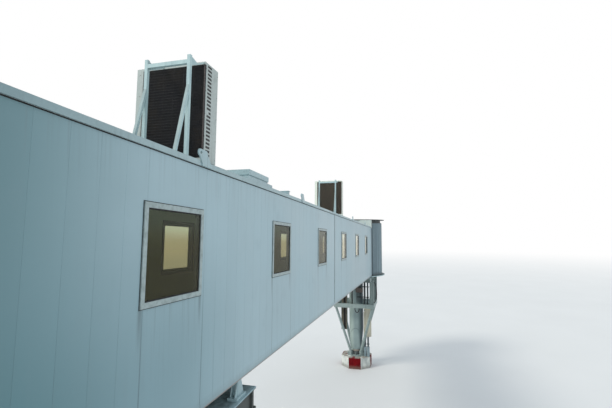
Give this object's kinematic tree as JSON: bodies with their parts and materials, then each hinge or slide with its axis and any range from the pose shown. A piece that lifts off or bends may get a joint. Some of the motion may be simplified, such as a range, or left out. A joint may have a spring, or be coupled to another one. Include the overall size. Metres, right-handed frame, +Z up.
{
  "type": "fixed walkway and swing chamber of a jet bridge",
  "caption": "Elevated enclosed passenger walkway with windows and roof coolers, sloping from the terminal to a round swing chamber on a braced column.",
  "frame": {"origin": "on the ground under the centre of the swing chamber's column", "axes": "+X from the terminal towards the swing chamber and the next tunnel, +Y to the left of a passenger who walks that way, +Z up"},
  "size_m": [27.11, 3.7398, 10.9683],
  "materials": {
    "wall_paint": "pale blue-grey paint, satin, weathered",
    "trim_paint": "light grey paint, satin",
    "steel_paint": "grey-green structural paint, chalky",
    "curtain_paint": "blue-grey coil-coated slats",
    "frame_alu": "anodised window sections",
    "window_glass": "dark tinted glass",
    "deck": "dark studded floor covering",
    "cooler_paint": "light grey powder coat",
    "coil_fins": "near-black coated fins, dusty",
    "fan_plastic": "black moulded plastic",
    "plinth_paint": "concrete painted in red and white faces",
    "cable_rubber": "black cable sheath"
  },
  "bodies": {
    "root": {"wall_right_a": "wall_paint", "wall_right_b": "wall_paint", "wall_left_a": "wall_paint", "wall_left_b": "wall_paint", "floor_deck": "deck", "floor_channels": "steel_paint", "floor_joists": "steel_paint", "roof_a": "trim_paint", "roof_b": "trim_paint", "roof_fascias": "trim_paint", "foot_trims": "trim_paint", "window_frames": "frame_alu", "window_glass": "window_glass", "terminal_frame": "steel_paint", "section_joint": "trim_paint", "cooler_a_casing": "cooler_paint", "cooler_a_coil": "coil_fins", "cooler_a_fans": "fan_plastic", "cooler_a_guard": "trim_paint", "cooler_b_casing": "cooler_paint", "cooler_b_coil": "coil_fins", "cooler_b_fans": "fan_plastic", "cooler_b_guard": "trim_paint", "roof_boxes": "trim_paint", "lifting_lugs": "steel_paint", "entry_frame": "trim_paint", "outlet_frame": "steel_paint", "chamber_floor": "deck", "chamber_base": "trim_paint", "chamber_roof": "trim_paint", "curtain_tracks": "steel_paint", "curtain_right": "curtain_paint", "curtain_left": "curtain_paint", "chamber_bearers": "steel_paint", "column_frame": "steel_paint", "column_tube": "steel_paint", "column_braces": "steel_paint", "plinths": "plinth_paint", "base_flanges": "steel_paint", "cable_duct": "steel_paint", "column_pipes": "steel_paint", "hanging_cables": "cable_rubber", "pier_tube": "steel_paint", "pier_braces": "steel_paint", "pier_crosshead": "steel_paint", "walkway_bearings": "trim_paint"}
  },
  "joints": []
}
